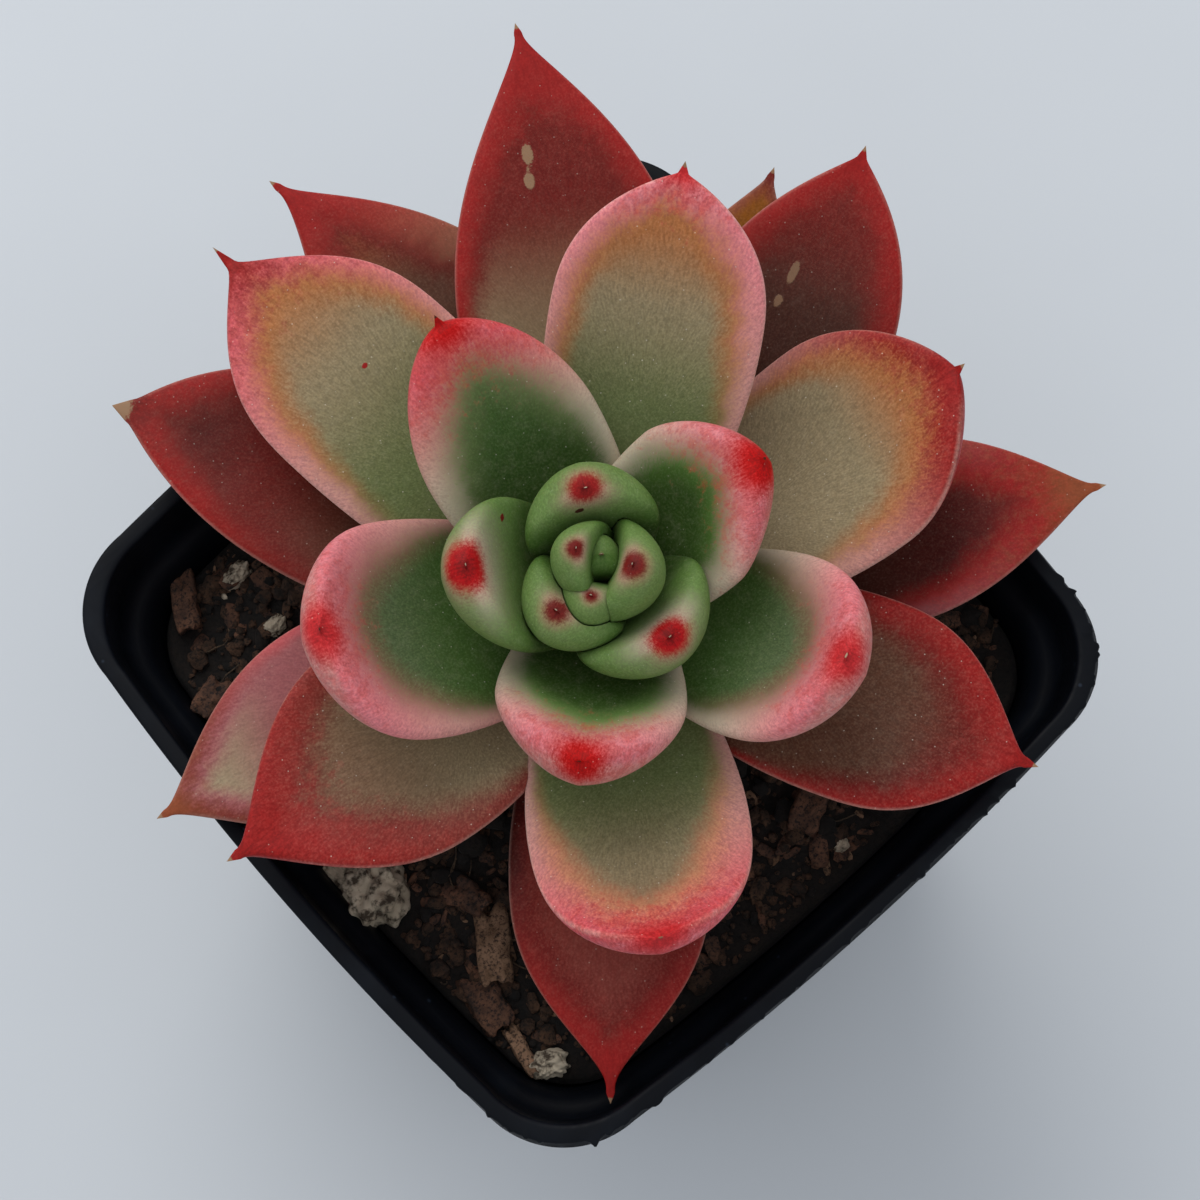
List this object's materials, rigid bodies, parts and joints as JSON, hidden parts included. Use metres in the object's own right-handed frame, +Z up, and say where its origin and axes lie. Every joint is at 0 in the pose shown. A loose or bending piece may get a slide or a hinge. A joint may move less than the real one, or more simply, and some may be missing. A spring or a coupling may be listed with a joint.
{
  "type": "potted echeveria succulent",
  "caption": "Rosette succulent of broad pointed fleshy leaves, green at the heart and red at the skirt, on a short stem in a square tapered nursery pot filled with bark and peat.",
  "frame": {"origin": "middle of the pot's flat base, on the surface it stands on", "axes": "+Z up; the pot's sides lie along X and Y"},
  "size_m": [0.0909, 0.0902, 0.095],
  "materials": {
    "pot_plastic": "satin black moulded polypropylene, a little dusty",
    "potting_soil": "moist dark peat and bark with pale pumice",
    "stem_bark": "dry brown bark",
    "bud_leaf": "matte waxy green leaf with red points",
    "young_leaf": "matte waxy green leaf with pale pink margin and a red spot",
    "heart_leaf": "matte waxy leaf, green in the middle, pink and red round the margin",
    "outer_leaf": "matte waxy leaf, olive to ochre in the middle, red round the margin",
    "skirt_leaf": "matte waxy deep red leaf with a brown foot"
  },
  "bodies": {
    "root": {"pot": "pot_plastic", "soil": "potting_soil", "stem": "stem_bark", "leaf_01": "bud_leaf", "leaf_02": "bud_leaf", "leaf_03": "bud_leaf", "leaf_04": "bud_leaf", "leaf_05": "young_leaf", "leaf_06": "young_leaf", "leaf_07": "young_leaf", "leaf_08": "young_leaf", "leaf_09": "heart_leaf", "leaf_10": "heart_leaf", "leaf_11": "heart_leaf", "leaf_12": "heart_leaf", "leaf_13": "heart_leaf", "leaf_14": "outer_leaf", "leaf_15": "outer_leaf", "leaf_16": "outer_leaf", "leaf_17": "outer_leaf", "leaf_18": "outer_leaf", "leaf_19": "skirt_leaf", "leaf_20": "outer_leaf", "leaf_21": "skirt_leaf", "leaf_22": "skirt_leaf", "leaf_23": "skirt_leaf", "leaf_24": "skirt_leaf", "leaf_25": "skirt_leaf", "leaf_26": "skirt_leaf", "leaf_27": "skirt_leaf"}
  },
  "joints": []
}
